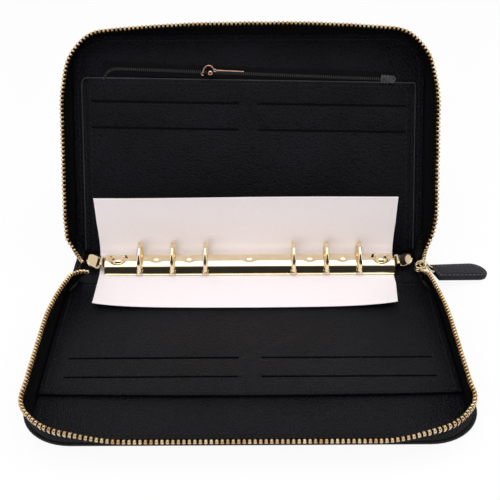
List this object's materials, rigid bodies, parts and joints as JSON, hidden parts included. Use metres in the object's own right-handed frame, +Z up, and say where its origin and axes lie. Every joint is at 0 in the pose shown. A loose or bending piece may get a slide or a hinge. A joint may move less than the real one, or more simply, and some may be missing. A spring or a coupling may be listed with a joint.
{
  "type": "cash envelope wallet",
  "caption": "Open zip-around ring wallet: two leather covers with card slots and pockets, a ring mechanism in the spine, a zip with slider and leather pull.",
  "frame": {"origin": "middle of the spine's underside, on the surface the wallet lies on", "axes": "+X along the spine toward the main slider, +Y from the front cover to the rear cover, +Z up"},
  "size_m": [0.25, 0.2347, 0.1355],
  "materials": {
    "outer_leather": "pebbled, semi-matt",
    "lining_leather": "fine pebbled, semi-matt",
    "board": "matt grey board",
    "pocket_cloth": "smooth woven lining",
    "zip_tape": "herringbone woven tape",
    "zip_teeth": "polished, copper gold",
    "gold_metal": "mirror plated, pale gold",
    "rose_metal": "polished, rose gold",
    "sheet_paper": "matt, faint pink"
  },
  "bodies": {
    "spine": {"spine_shell": "outer_leather", "spine_board": "board", "spine_lining": "lining_leather", "ring_plate": "gold_metal", "left_rivet": "gold_metal", "right_rivet": "gold_metal", "left_end_tape": "zip_tape", "right_end_tape": "zip_tape", "loose_sheet": "sheet_paper", "main_slider": "gold_metal"},
    "front_cover": {"front_cover_shell": "outer_leather", "front_cover_board": "board", "front_cover_lining": "lining_leather", "front_zip_tape": "zip_tape", "front_zip_teeth": "zip_teeth", "front_pocket_lining": "pocket_cloth", "front_pocket_panel": "lining_leather"},
    "rear_cover": {"rear_cover_shell": "outer_leather", "rear_cover_board": "board", "rear_cover_lining": "lining_leather", "rear_zip_tape": "zip_tape", "rear_zip_teeth": "zip_teeth", "rear_pocket_lining": "pocket_cloth", "rear_pocket_panel": "lining_leather", "rear_pocket_binding_left": "outer_leather", "rear_pocket_binding_right": "outer_leather", "pocket_zip_tape": "zip_tape", "pocket_zip_coil": "zip_tape", "pocket_zip_end_tab": "outer_leather"},
    "front_rings": {"front_blade": "gold_metal", "front_half_ring_1": "gold_metal", "front_half_ring_2": "gold_metal", "front_half_ring_3": "gold_metal", "front_half_ring_4": "gold_metal", "front_half_ring_5": "gold_metal", "front_half_ring_6": "gold_metal"},
    "rear_rings": {"rear_blade": "gold_metal", "rear_half_ring_1": "gold_metal", "rear_half_ring_2": "gold_metal", "rear_half_ring_3": "gold_metal", "rear_half_ring_4": "gold_metal", "rear_half_ring_5": "gold_metal", "rear_half_ring_6": "gold_metal"},
    "left_lever": {"left_lever": "gold_metal"},
    "right_lever": {"right_lever": "gold_metal"},
    "pull_link": {"pull_link": "gold_metal"},
    "leather_pull": {"leather_pull": "outer_leather"},
    "pocket_slider": {"pocket_zip_slider": "rose_metal"},
    "pocket_pull": {"pocket_zip_pull": "rose_metal"}
  },
  "joints": [
    {"name": "front_fold", "type": "hinge", "parent": "spine", "child": "front_cover", "pos_m": [0, -0.0165, 0.0059], "axis": [-1, 0, 0], "range_deg": [0, 90], "deforming": ["loose_sheet"]},
    {"name": "rear_fold", "type": "hinge", "parent": "spine", "child": "rear_cover", "pos_m": [0, 0.0165, 0.0059], "axis": [1, 0, 0], "range_deg": [-66, 24]},
    {"name": "ring_open", "type": "hinge", "parent": "spine", "child": "front_rings", "pos_m": [0, -0.0066, 0.00785], "axis": [1, 0, 0], "range_deg": [0, 14]},
    {"name": "rear_ring_open", "type": "hinge", "parent": "spine", "child": "rear_rings", "pos_m": [0, 0.0066, 0.00785], "axis": [1, 0, 0], "range_deg": [-14, 0]},
    {"name": "left_lever_press", "type": "hinge", "parent": "spine", "child": "left_lever", "pos_m": [-0.085, 0, 0.008], "axis": [0, 1, 0], "range_deg": [-25.2, 0]},
    {"name": "right_lever_press", "type": "hinge", "parent": "spine", "child": "right_lever", "pos_m": [0.085, 0, 0.008], "axis": [0, 1, 0], "range_deg": [0, 25.2]},
    {"name": "link_swing", "type": "hinge", "parent": "spine", "child": "pull_link", "pos_m": [0.1009, -0.0075, 0.0132], "axis": [0, -1, 0], "range_deg": [0, 40]},
    {"name": "pull_swing", "type": "hinge", "parent": "pull_link", "child": "leather_pull", "pos_m": [0.1097, -0.0075, 0.0074], "axis": [0.3024, -0.9532, 0], "range_deg": [0, 50]},
    {"name": "pocket_zip_slide", "type": "slide", "parent": "rear_cover", "child": "pocket_slider", "axis": [0.999, -0.0177, -0.0398], "range_m": [-0.056, 0.0975]},
    {"name": "pocket_pull_swing", "type": "hinge", "parent": "pocket_slider", "child": "pocket_pull", "pos_m": [-0.02315, 0.05607, 0.1051], "axis": [-0.0436, -0.4063, -0.9127], "range_deg": [0, 150]}
  ],
  "couplings": [
    {"joint": "rear_ring_open", "follows": "ring_open", "ratio": -1},
    {"joint": "left_lever_press", "follows": "ring_open", "ratio": -1.8},
    {"joint": "right_lever_press", "follows": "ring_open", "ratio": 1.8}
  ]
}
